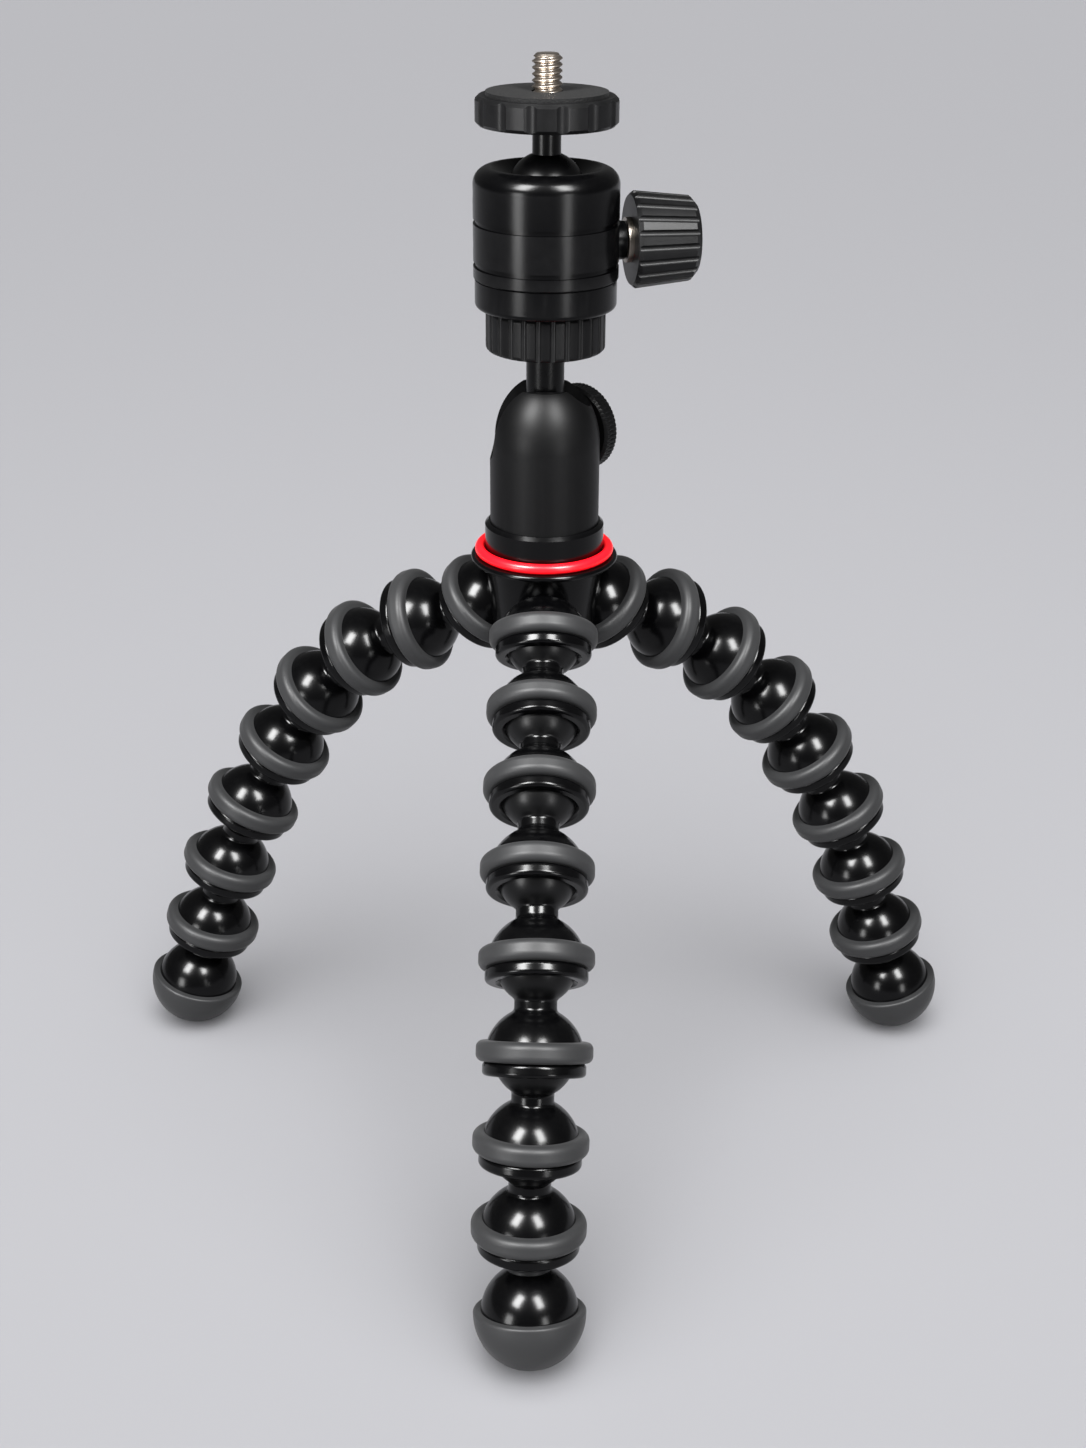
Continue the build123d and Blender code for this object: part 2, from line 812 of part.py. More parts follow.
def footprint_middle():
    """Point on the floor in the middle of the box round the three feet."""
    centres = [foot_centre(name) for name in legs]
    return Vector(
        (min(c.X for c in centres) + max(c.X for c in centres)) / 2,
        (min(c.Y for c in centres) + max(c.Y for c in centres)) / 2,
        0,
    )


def tripod():
    """Every piece by name, with the origin on the floor in the middle of the feet."""
    socket_ring = leg_ring(0)
    pieces = {
        "hub_body": hub_body(),
        "hub_socket_rings": Compound([leg_planes(name)[0] * socket_ring for name in legs]),
        "accent_ring": accent_ring(),
        "lower_head_housing": Compound([lower_housing(), lower_cup()]),
        "lower_ball_stem": lower_stem(),
        "lock_wheel": lock_wheel(),
        "lock_ring": lock_ring(),
        "upper_head_base": Compound([upper_base(), upper_cup()]),
        "upper_head_body": upper_body(),
        "clamp_screw": clamp_screw(),
        "clamp_knob": clamp_knob(),
        "upper_ball_stem": upper_stem(),
        "camera_disc": camera_disc(),
        "camera_pad": camera_pad(),
        "camera_screw": camera_screw(),
    }
    link = leg_link()
    ring = leg_ring(link_pitch)
    foot = (foot_shell(), foot_boot())
    for name in legs:
        pieces.update(leg_pieces(name, link, ring, foot))
    middle = footprint_middle()
    return {name: Pos(-middle.X, -middle.Y, 0) * piece for name, piece in pieces.items()}


os.makedirs("parts", exist_ok=True)
for node_name, solid in tripod().items():
    export_step(solid, f"parts/{node_name}.step")
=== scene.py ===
"""Looks of a flexible-leg tripod.

Gloss black leg links with grey rubber rings, two ball heads and a camera screw.
"""
import json
import logging
import math
from dataclasses import dataclass, field
from enum import Enum
from typing import Callable, Iterable, Union

import bmesh
import bpy
from mathutils import Matrix, Vector


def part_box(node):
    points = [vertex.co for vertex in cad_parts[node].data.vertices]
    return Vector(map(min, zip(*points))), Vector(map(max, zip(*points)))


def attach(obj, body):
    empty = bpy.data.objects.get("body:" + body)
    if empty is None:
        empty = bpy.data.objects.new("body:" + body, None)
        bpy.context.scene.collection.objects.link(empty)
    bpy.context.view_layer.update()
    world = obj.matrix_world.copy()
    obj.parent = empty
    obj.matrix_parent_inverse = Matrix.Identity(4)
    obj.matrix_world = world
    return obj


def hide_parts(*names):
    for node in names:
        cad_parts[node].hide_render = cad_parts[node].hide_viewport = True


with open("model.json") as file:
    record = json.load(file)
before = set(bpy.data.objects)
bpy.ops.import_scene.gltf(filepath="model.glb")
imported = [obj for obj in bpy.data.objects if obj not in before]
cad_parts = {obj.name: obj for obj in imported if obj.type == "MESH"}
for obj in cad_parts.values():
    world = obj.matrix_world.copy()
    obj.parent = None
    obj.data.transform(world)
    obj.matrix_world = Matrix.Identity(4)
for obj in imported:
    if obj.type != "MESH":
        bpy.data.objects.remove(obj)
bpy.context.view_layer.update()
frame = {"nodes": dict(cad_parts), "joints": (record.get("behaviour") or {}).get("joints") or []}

MM = 0.001
log = logging.getLogger("tripod")

# Radius at which the rings of a solid round piece end, just short of its axis.
CENTRE_RADIUS = 0.05 * MM
# Numbers of the colour sockets of a Mix node.
MIX_UNDER, MIX_OVER, MIX_RESULT = 6, 7, 2

Colour = tuple[float, float, float]
ColourAlpha = tuple[float, float, float, float]
SocketOrNumber = Union[bpy.types.NodeSocket, float]
SocketOrColour = Union[bpy.types.NodeSocket, ColourAlpha]


class Slot(Enum):
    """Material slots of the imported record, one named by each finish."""

    GLOSS = "gloss_black"
    GRIP = "grip_rubber"
    RED = "red_ring"
    SATIN = "satin_black"
    STEEL = "black_steel"
    KNOB = "knob_black"
    NICKEL = "nickel_steel"
    PAD = "pad_rubber"


class Effect(Enum):
    """Shader node groups that several finishes share."""

    GRAIN = "moulded_grain"
    WEAR = "handling_wear"
    DUST = "settled_dust"
    # Lighter colour on sharp edges: partly edge wear, partly a painted highlight along the edges.
    EDGES = "edge_wear_and_highlight"


@dataclass(frozen=True)
class Finish:
    """One surface finish: its colour and gloss, and how much of each shared effect it shows.

    The sizes of grain and wear and the grain's height are in millimetres.
    """

    name: str
    slot: Slot
    colour: Colour
    roughness: float
    metallic: float = 0.0
    specular: float = 0.5
    sheen: float = 0.0
    grain_size: float = 0.25
    grain_height: float = 0.01
    wear: float = 0.06
    wear_size: float = 9.0
    dust: float = 0.006
    # edge and edge_colour lay a lighter colour on sharp edges: partly edge wear, partly a painted
    # highlight.
    edge: float = 0.05
    edge_colour: Colour = (0.05, 0.05, 0.052)


# In each finish, edge and edge_colour set the lighter colour on sharp edges: partly edge wear,
# partly a painted highlight.
GLOSS_SHELL = Finish(
    "gloss_shell", Slot.GLOSS, (0.0005, 0.0005, 0.0006), 0.2, specular=0.18, wear=0.05,
    grain_height=0.002, edge_colour=(0.02, 0.02, 0.021),
)
HUB_GLOSS = Finish(
    "hub_gloss", Slot.GLOSS, (0.0004, 0.0004, 0.0005), 0.18, specular=0.18, wear=0.04,
    grain_height=0.002, edge_colour=(0.02, 0.02, 0.021),
)
BALL_PLASTIC = Finish(
    "ball_plastic", Slot.GLOSS, (0.0008, 0.0008, 0.0009), 0.33, specular=0.2, wear=0.08,
    grain_height=0.006, edge_colour=(0.02, 0.02, 0.021),
)
GRIP_RUBBER = Finish(
    "grip_rubber", Slot.GRIP, (0.0115, 0.0117, 0.0122), 0.46, specular=0.25, sheen=0.03,
    wear=0.1, wear_size=6.0, grain_size=0.18, grain_height=0.02, dust=0.015,
    edge=0.03, edge_colour=(0.04, 0.04, 0.042),
)
RED_RING = Finish(
    "red_ring", Slot.RED, (0.75, 0.003, 0.008), 0.3, specular=0.4, wear=0.04, grain_height=0.004,
    dust=0.01, edge=0.0, edge_colour=(0.85, 0.03, 0.03),
)
SATIN_METAL = Finish(
    "satin_metal", Slot.SATIN, (0.0009, 0.0009, 0.001), 0.42, specular=0.13, wear=0.06,
    grain_size=0.12, grain_height=0.01, edge=0.1, edge_colour=(0.03, 0.03, 0.031),
)
HEAD_METAL = Finish(
    "head_metal", Slot.SATIN, (0.0004, 0.0004, 0.0005), 0.22, specular=0.14, wear=0.05,
    grain_size=0.12, grain_height=0.007, edge=0.14, edge_colour=(0.04, 0.04, 0.041),
)
BALL_STEEL = Finish(
    "ball_steel", Slot.STEEL, (0.0005, 0.0005, 0.0006), 0.28, specular=0.16, wear=0.06,
    grain_height=0.004,
)
KNOB_PLASTIC = Finish(
    "knob_plastic", Slot.KNOB, (0.0011, 0.0011, 0.0012), 0.36, specular=0.15, wear=0.09,
    grain_size=0.2, grain_height=0.015, edge=0.25, edge_colour=(0.03, 0.03, 0.031),
)
NICKEL = Finish(
    "nickel", Slot.NICKEL, (0.33, 0.29, 0.25), 0.32, metallic=1.0, wear=0.1, wear_size=2.0,
    grain_size=0.1, grain_height=0.004, dust=0.0, edge=0.2, edge_colour=(0.4, 0.38, 0.35),
)
PAD_RUBBER = Finish(
    "pad_rubber", Slot.PAD, (0.0018, 0.0018, 0.0019), 0.62, specular=0.15, sheen=0.02, wear=0.12,
    grain_size=0.45, grain_height=0.12, dust=0.012, edge=0.05, edge_colour=(0.02, 0.02, 0.021),
)


class EffectLibrary:
    """Builds each shared node group once and places it in materials."""

    noise_middle: float = 0.5
    grain_detail: float = 3.0
    wear_detail: float = 4.0
    dust_detail: float = 6.0
    dust_clumping: float = 3.0
    edge_detail: float = 3.0
    edge_starts: float = 0.52
    edge_full: float = 0.62

    def __init__(self) -> None:
        """Starts with no group built."""
        self.groups: dict[Effect, bpy.types.NodeTree] = {}

    def place(self, tree: bpy.types.NodeTree, effect: Effect, **values: float) -> bpy.types.Node:
        """Places an effect in a material.

        Args:
            tree: The material's node tree.
            effect: The effect to place.
            values: Input values by socket name.

        Returns:
            The group node.
        """
        if effect not in self.groups:
            builders = {
                Effect.GRAIN: self._grain,
                Effect.WEAR: self._wear,
                Effect.DUST: self._dust,
                Effect.EDGES: self._edges,
            }
            self.groups[effect] = builders[effect]()
        node = tree.nodes.new("ShaderNodeGroup")
        node.node_tree = self.groups[effect]
        for name, value in values.items():
            node.inputs[name].default_value = value
        return node

    @staticmethod
    def _new(
        effect: Effect,
        inputs: Iterable[tuple[str, str, float]],
        outputs: Iterable[tuple[str, str]],
    ) -> tuple[bpy.types.NodeTree, bpy.types.Node, bpy.types.Node]:
        """Starts a node group.

        Args:
            effect: The effect, which names the group.
            inputs: Name, socket kind and default value of each input.
            outputs: Name and socket kind of each output.

        Returns:
            The group, its input node and its output node.
        """
        group = bpy.data.node_groups.new(effect.value, "ShaderNodeTree")
        sockets = group.interface
        for name, kind, value in inputs:
            socket = sockets.new_socket(name=name, in_out="INPUT", socket_type=kind)
            socket.default_value = value
        for name, kind in outputs:
            sockets.new_socket(name=name, in_out="OUTPUT", socket_type=kind)
        return group, group.nodes.new("NodeGroupInput"), group.nodes.new("NodeGroupOutput")

    @staticmethod
    def _noise(
        group: bpy.types.NodeTree, detail: float, scale: bpy.types.NodeSocket
    ) -> bpy.types.Node:
        """Adds a noise texture in the piece's own coordinates, its scale linked to a socket.

        Args:
            group: The group to add to.
            detail: Detail of the noise.
            scale: Socket that gives the noise's scale.

        Returns:
            The noise node.
        """
        place = group.nodes.new("ShaderNodeTexCoord")
        noise = group.nodes.new("ShaderNodeTexNoise")
        noise.inputs["Detail"].default_value = detail
        group.links.new(place.outputs["Object"], noise.inputs["Vector"])
        group.links.new(scale, noise.inputs["Scale"])
        return noise

    @staticmethod
    def _maths(
        group: bpy.types.NodeTree, operation: str, a: SocketOrNumber, b: SocketOrNumber
    ) -> bpy.types.NodeSocket:
        """Adds a sum or the like of two sockets or numbers.

        Args:
            group: The group to add to.
            operation: Blender's name of the operation.
            a: First socket or number.
            b: Second socket or number.

        Returns:
            The result's socket.
        """
        node = group.nodes.new("ShaderNodeMath")
        node.operation = operation
        for socket, value in zip(node.inputs, (a, b)):
            if isinstance(value, bpy.types.NodeSocket):
                group.links.new(value, socket)
            else:
                socket.default_value = value
        return node.outputs["Value"]

    def _scale(
        self, group: bpy.types.NodeTree, size: bpy.types.NodeSocket
    ) -> bpy.types.NodeSocket:
        """Turns a feature size in millimetres into a noise scale."""
        return self._maths(group, "DIVIDE", 1 / MM, size)

    def _grain(self) -> bpy.types.NodeTree:
        """Builds the fine surface grain, given as a height in metres.

        Returns:
            The node group.
        """
        group, given, made = self._new(
            Effect.GRAIN,
            [("Size", "NodeSocketFloat", 0.25), ("Height", "NodeSocketFloat", 0.01)],
            [("Height", "NodeSocketFloat")],
        )
        noise = self._noise(group, self.grain_detail, self._scale(group, given.outputs["Size"]))
        height = self._maths(group, "MULTIPLY", noise.outputs["Fac"], given.outputs["Height"])
        group.links.new(self._maths(group, "MULTIPLY", height, MM), made.inputs["Height"])
        return group

    def _wear(self) -> bpy.types.NodeTree:
        """Builds the roughness that varies with handling.

        Returns:
            The node group.
        """
        group, given, made = self._new(
            Effect.WEAR,
            [
                ("Size", "NodeSocketFloat", 9.0),
                ("Roughness", "NodeSocketFloat", 0.3),
                ("Amount", "NodeSocketFloat", 0.1),
            ],
            [("Roughness", "NodeSocketFloat")],
        )
        noise = self._noise(group, self.wear_detail, self._scale(group, given.outputs["Size"]))
        centred = self._maths(group, "SUBTRACT", noise.outputs["Fac"], self.noise_middle)
        change = self._maths(group, "MULTIPLY", centred, given.outputs["Amount"])
        total = self._maths(group, "ADD", given.outputs["Roughness"], change)
        group.links.new(total, made.inputs["Roughness"])
        return group

    def _dust(self) -> bpy.types.NodeTree:
        """Builds the mask of fine dust that lies on what faces up.

        Returns:
            The node group.
        """
        group, given, made = self._new(
            Effect.DUST,
            [("Size", "NodeSocketFloat", 1.2), ("Amount", "NodeSocketFloat", 0.02)],
            [("Mask", "NodeSocketFloat")],
        )
        facing = group.nodes.new("ShaderNodeNewGeometry")
        split = group.nodes.new("ShaderNodeSeparateXYZ")
        group.links.new(facing.outputs["Normal"], split.inputs["Vector"])
        upward = self._maths(group, "MAXIMUM", split.outputs["Z"], 0.0)
        noise = self._noise(group, self.dust_detail, self._scale(group, given.outputs["Size"]))
        specks = self._maths(group, "POWER", noise.outputs["Fac"], self.dust_clumping)
        lying = self._maths(group, "MULTIPLY", upward, specks)
        mask = self._maths(group, "MULTIPLY", lying, given.outputs["Amount"])
        group.links.new(mask, made.inputs["Mask"])
        return group

    def _edges(self) -> bpy.types.NodeTree:
        """Builds the mask of sharp outer edges, broken up as handling leaves them: edge wear, and a
        painted highlight along the edges.

        Returns:
            The node group.
        """
        group, given, made = self._new(
            Effect.EDGES,
            [("Size", "NodeSocketFloat", 2.5), ("Amount", "NodeSocketFloat", 0.1)],
            [("Mask", "NodeSocketFloat")],
        )
        shape = group.nodes.new("ShaderNodeNewGeometry")
        sharp = group.nodes.new("ShaderNodeMapRange")
        sharp.inputs["From Min"].default_value = self.edge_starts
        sharp.inputs["From Max"].default_value = self.edge_full
        group.links.new(shape.outputs["Pointiness"], sharp.inputs["Value"])
        noise = self._noise(group, self.edge_detail, self._scale(group, given.outputs["Size"]))
        broken = self._maths(group, "MULTIPLY", sharp.outputs["Result"], noise.outputs["Fac"])
        mask = self._maths(group, "MULTIPLY", broken, given.outputs["Amount"])
        group.links.new(mask, made.inputs["Mask"])
        return group


class Paintshop:
    """Makes each finish's material once and puts it on pieces."""

    dust_colour: ColourAlpha = (0.3, 0.3, 0.29, 1.0)

    def __init__(self) -> None:
        """Starts with no material made."""
        self.effects = EffectLibrary()
        self.materials: dict[str, bpy.types.Material] = {}

    def material(self, finish: Finish) -> bpy.types.Material:
        """Gives a finish's material, made on first use.

        Args:
            finish: The finish.

        Returns:
            The material.
        """
        if finish.name not in self.materials:
            self.materials[finish.name] = self._make(finish)
        return self.materials[finish.name]

    def _make(self, finish: Finish) -> bpy.types.Material:
        """Builds a finish's node tree around one Principled shader.

        Args:
            finish: The finish.

        Returns:
            The new material.
        """
        material = bpy.data.materials.new(finish.name)
        material.use_nodes = True
        tree = material.node_tree
        shader = tree.nodes["Principled BSDF"]
        shader.inputs["Metallic"].default_value = finish.metallic
        shader.inputs["Specular IOR Level"].default_value = finish.specular
        shader.inputs["Sheen Weight"].default_value = finish.sheen
        place = self.effects.place
        grain = place(tree, Effect.GRAIN, Size=finish.grain_size, Height=finish.grain_height)
        wear = place(
            tree, Effect.WEAR, Size=finish.wear_size, Roughness=finish.roughness, Amount=finish.wear
        )
        dust = place(tree, Effect.DUST, Amount=finish.dust)
        edges = place(tree, Effect.EDGES, Amount=finish.edge)
        unmarked, edge = (*finish.colour, 1.0), (*finish.edge_colour, 1.0)
        # Sharp edges take a lighter colour here: edge wear, and a painted highlight along them.
        worn_and_highlit = self._mix(tree, edges.outputs["Mask"], unmarked, edge)
        dusty = self._mix(tree, dust.outputs["Mask"], worn_and_highlit, self.dust_colour)
        # The grain gives its height in metres, so the bump takes it as it is.
        bump = tree.nodes.new("ShaderNodeBump")
        bump.inputs["Distance"].default_value = 1.0
        tree.links.new(grain.outputs["Height"], bump.inputs["Height"])
        tree.links.new(bump.outputs["Normal"], shader.inputs["Normal"])
        tree.links.new(wear.outputs["Roughness"], shader.inputs["Roughness"])
        tree.links.new(dusty, shader.inputs["Base Color"])
        return material

    @staticmethod
    def _mix(
        tree: bpy.types.NodeTree,
        mask: bpy.types.NodeSocket,
        under: SocketOrColour,
        over: SocketOrColour,
    ) -> bpy.types.NodeSocket:
        """Lays one colour over another.

        Args:
            tree: The node tree to add to.
            mask: Socket that says how much of the upper colour shows.
            under: Lower colour, as a socket or four numbers.
            over: Upper colour, as a socket or four numbers.

        Returns:
            The mixed colour's socket.
        """
        node = tree.nodes.new("ShaderNodeMix")
        node.data_type = "RGBA"
        tree.links.new(mask, node.inputs["Factor"])
        for number, value in ((MIX_UNDER, under), (MIX_OVER, over)):
            if isinstance(value, bpy.types.NodeSocket):
                tree.links.new(value, node.inputs[number])
            else:
                node.inputs[number].default_value = value
        return node.outputs[MIX_RESULT]

    def dress(self, piece: bpy.types.Object, finish: Finish) -> None:
        """Puts a finish on a piece as its only material.

        Args:
            piece: The piece.
            finish: The finish.
        """
        slots = piece.material_slots
        if not slots:
            piece.data.materials.append(self.material(finish))
        for slot in slots:
            slot.material = self.material(finish)


class Frame:
    """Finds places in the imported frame."""

    @staticmethod
    def joint(name: str) -> dict:
        """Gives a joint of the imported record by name."""
        return next(joint for joint in frame["joints"] if joint["name"] == name)

    @classmethod
    def point(cls, name: str) -> Vector:
        """Gives the point that a joint turns about."""
        return Vector(cls.joint(name)["pos_m"])

    @classmethod
    def outward(cls, name: str) -> Matrix:
        """Gives a joint's place as a matrix.

        Args:
            name: The joint's name.

        Returns:
            The matrix, with Z along the joint's axis.
        """
        joint = cls.joint(name)
        turn = Vector(joint["axis"]).to_track_quat("Z", "Y").to_matrix().to_4x4()
        return Matrix.Translation(Vector(joint["pos_m"])) @ turn

    @staticmethod
    def node(name: str) -> bpy.types.Object:
        """Gives a node's object."""
        return frame["nodes"][name]


def part_of(node: str, name: str, keep: Callable[[Vector], bool]) -> bpy.types.Object:
    """Makes a piece from those faces of a node whose middle passes a test.

    Args:
        node: The node to copy from.
        name: The new piece's name.
        keep: Test of a face's middle.

    Returns:
        The new piece.
    """
    mesh = Frame.node(node).data.copy()
    mesh.name = name
    work = bmesh.new()
    work.from_mesh(mesh)
    lost = [face for face in work.faces if not keep(face.calc_center_median())]
    bmesh.ops.delete(work, geom=lost, context="FACES")
    work.to_mesh(mesh)
    work.free()
    piece = bpy.data.objects.new(name, mesh)
    bpy.context.scene.collection.objects.link(piece)
    return piece


def ringed_piece(
    name: str, rows: list[list[Vector]], place: Matrix, smooth_angle: float
) -> bpy.types.Object:
    """Makes a closed round piece from rings of points, its ends closed by flat faces.

    Args:
        name: The piece's name.
        rows: Rings of points from one end to the other, all with as many points.
        place: Where the piece goes.
        smooth_angle: Angle in degrees below which edges are smooth.

    Returns:
        The new piece.
    """
    work = bmesh.new()
    rings = [[work.verts.new(place @ point) for point in row] for row in rows]
    count = len(rows[0])
    for lower, upper in zip(rings, rings[1:]):
        for index in range(count):
            after = (index + 1) % count
            work.faces.new((lower[index], lower[after], upper[after], upper[index]))
    work.faces.new(list(reversed(rings[0])))
    work.faces.new(rings[-1])
    bmesh.ops.recalc_face_normals(work, faces=work.faces)
    for face in work.faces:
        face.smooth = True
    for edge in work.edges:
        if len(edge.link_faces) == 2 and edge.calc_face_angle() > math.radians(smooth_angle):
            edge.smooth = False
    mesh = bpy.data.meshes.new(name)
    work.to_mesh(mesh)
    work.free()
    piece = bpy.data.objects.new(name, mesh)
    bpy.context.scene.collection.objects.link(piece)
    return piece


def ridge(turns: float) -> float:
    """Gives a straight-sided wave: 1 at each whole turn, 0 halfway between two."""
    return abs(turns % 1 - 0.5) * 2


def ring_points(radius: Callable[[float], float], height: float, count: int) -> list[Vector]:
    """Gives the points of one ring whose radius depends on the angle.

    Args:
        radius: Radius at an angle in radians.
        height: Height of the ring.
        count: How many points.

    Returns:
        The points.
    """
    angles = [math.tau * index / count for index in range(count)]
    return [Vector((radius(a) * math.cos(a), radius(a) * math.sin(a), height)) for a in angles]


@dataclass
class SubAssembly:
    """A group of pieces with what they share: the paint shop and the list of finished pieces."""

    shop: Paintshop
    done: list[str] = field(default_factory=list)

    def dress_node(self, node: str, finish: Finish) -> None:
        """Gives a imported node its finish.

        Args:
            node: The node's name.
            finish: The finish.
        """
        self.shop.dress(Frame.node(node), finish)
        self.done.append(node)

    def add(self, piece: bpy.types.Object, body: str, nodes: Iterable[str], finish: Finish) -> None:
        """Finishes a new piece, hangs it on the body it rides on and hides the nodes it stands for.

        Args:
            piece: The new piece.
            body: The body it rides on.
            nodes: The nodes it stands for.
            finish: Its finish.
        """
        piece.data.materials.clear()
        self.shop.dress(piece, finish)
        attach(piece, body)
        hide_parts(*nodes)
        self.done.append(piece.name)

    def build(self) -> None:
        """Builds and dresses the pieces. Each sub-assembly has its own way."""
        raise NotImplementedError


@dataclass
class Leg(SubAssembly):
    """One leg: seven links with rubber rings, and a foot.

    A sphere round each ball joint divides a link into ball and shell, and a sphere round the
    middle of the foot's dome divides the foot into shell and boot.
    """

    side: str = "front"
    links: int = 7
    ball_reach: float = 8.68 * MM
    foot_pitch: float = 17.5 * MM
    dome_reach: float = 10.43 * MM

    def build(self) -> None:
        """Makes two pieces of each link and of the foot, and dresses the rings."""
        ball, shell, boot = ("ball", BALL_PLASTIC), ("shell", GLOSS_SHELL), ("boot", GRIP_RUBBER)
        for number in range(1, self.links + 1):
            node = f"link_{self.side}_{number}"
            body = f"{self.side}_link_{number}"
            centre = Frame.point(f"{self.side}_leg_ball_{number}")
            self._split(node, body, centre, self.ball_reach, ball, shell)
            self.dress_node(f"ring_{self.side}_{number}", GRIP_RUBBER)
        ankle = Frame.point(f"{self.side}_leg_ball_{self.links + 1}")
        node = f"foot_{self.side}"
        points = [vertex.co for vertex in Frame.node(node).data.vertices]
        tip = max(points, key=lambda point: (point - ankle).length)
        centre = ankle + (tip - ankle).normalized() * self.foot_pitch
        self._split(node, f"{self.side}_foot", centre, self.dome_reach, shell, boot)

    def _split(
        self,
        node: str,
        body: str,
        centre: Vector,
        reach: float,
        inner: tuple[str, Finish],
        outer: tuple[str, Finish],
    ) -> None:
        """Makes two pieces of a node, divided by a sphere.

        Args:
            node: The node.
            body: The body that the pieces ride on.
            centre: Centre of the dividing sphere.
            reach: Its radius.
            inner: Name and finish of what lies inside it.
            outer: Name and finish of what lies outside it.
        """
        tests = (
            (inner, lambda point: (point - centre).length <= reach),
            (outer, lambda point: (point - centre).length > reach),
        )
        for (name, finish), test in tests:
            self.add(part_of(node, f"{node}_{name}", test), body, [node], finish)


@dataclass
class Hub(SubAssembly):
    """The hub with its sockets, their rings and the red ring."""

    def build(self) -> None:
        """Dresses the hub's nodes."""
        self.dress_node("hub_body", HUB_GLOSS)
        self.dress_node("hub_socket_rings", GRIP_RUBBER)
        self.dress_node("accent_ring", RED_RING)


@dataclass
class LowerHead(SubAssembly):
    """The small ball head on the hub, with its lock wheel.

    The wheel's starts and ends are measured along its axis from the joint. The lean is in teeth,
    from one side of the rim to the other.
    """

    wheel_radius: float = 9.8 * MM
    wheel_start: float = 10.0 * MM
    wheel_end: float = 14.0 * MM
    wheel_hub_radius: float = 4.0 * MM
    wheel_hub_end: float = 14.8 * MM
    wheel_screw_radius: float = 2.5 * MM
    wheel_screw_end: float = 8.3 * MM
    wheel_edge: float = 0.45 * MM
    wheel_dish: float = 0.35 * MM
    wheel_dish_radius: float = 7.6 * MM
    knurl_teeth: int = 60
    knurl_depth: float = 0.3 * MM
    knurl_lean: float = 1.0
    knurl_fullness: float = 0.7
    knurl_steps: int = 14
    points_per_tooth: int = 6
    smooth_angle: float = 32

    def build(self) -> None:
        """Dresses the housing and the ball, and makes the knurled wheel."""
        self.dress_node("lower_head_housing", SATIN_METAL)
        self.dress_node("lower_ball_stem", BALL_STEEL)
        place = Frame.outward("lock_wheel_turn")
        rings = self._wheel_rings()
        wheel = ringed_piece("lock_wheel_knurled", rings, place, self.smooth_angle)
        self.add(wheel, "lock_wheel", ["lock_wheel"], KNOB_PLASTIC)

    def _knurl(self, height: float) -> Callable[[float], float]:
        """Gives the radius of the wheel's rim round one ring.

        Args:
            height: Height of the ring, from the joint.

        Returns:
            The radius as a function of the angle.
        """
        lean = self.knurl_lean * (height - self.wheel_start) / (self.wheel_end - self.wheel_start)

        def radius(angle: float) -> float:
            """Gives the radius over two sets of teeth that lean opposite ways.

            Args:
                angle: Angle round the wheel, in radians.

            Returns:
                The radius.
            """
            turns = angle * self.knurl_teeth / math.tau
            height_share = max(ridge(turns + lean), ridge(turns - lean)) ** self.knurl_fullness
            return self.wheel_radius - self.knurl_depth * (1 - height_share)

        return radius

    def _wheel_rings(self) -> list[list[Vector]]:
        """Gives the rings of the wheel from the screw's tip to the hub's face.

        Returns:
            The rings of points, with Z along the wheel's axis.
        """
        count = self.knurl_teeth * self.points_per_tooth
        inner = self.wheel_radius - self.knurl_depth - self.wheel_edge
        plain = [
            (CENTRE_RADIUS, self.wheel_screw_end),
            (self.wheel_screw_radius, self.wheel_screw_end),
            (self.wheel_screw_radius, self.wheel_start),
            (inner, self.wheel_start),
        ]
        rows = [ring_points(lambda _, r=r: r, z, count) for r, z in plain]
        low = self.wheel_start + self.wheel_edge
        high = self.wheel_end - self.wheel_edge
        for step in range(self.knurl_steps + 1):
            z = low + (high - low) * step / self.knurl_steps
            rows.append(ring_points(self._knurl(z), z, count))
        face = [
            (inner, self.wheel_end),
            (self.wheel_dish_radius, self.wheel_end),
            (self.wheel_dish_radius - self.wheel_dish, self.wheel_end - self.wheel_dish),
            (self.wheel_hub_radius, self.wheel_end - self.wheel_dish),
            (self.wheel_hub_radius, self.wheel_hub_end - self.wheel_dish),
            (self.wheel_hub_radius - self.wheel_dish, self.wheel_hub_end),
            (CENTRE_RADIUS, self.wheel_hub_end),
        ]
        rows += [ring_points(lambda _, r=r: r, z, count) for r, z in face]
        return rows


@dataclass
class UpperHead(SubAssembly):
    """The upper ball head with its clamp knob and the lock ring below it."""

    def build(self) -> None:
        """Dresses the upper head's nodes."""
        for node in ("upper_head_base", "upper_head_body"):
            self.dress_node(node, HEAD_METAL)
        self.dress_node("upper_ball_stem", BALL_STEEL)
        self.dress_node("clamp_screw", NICKEL)
        for node in ("clamp_knob", "lock_ring"):
            self.dress_node(node, KNOB_PLASTIC)


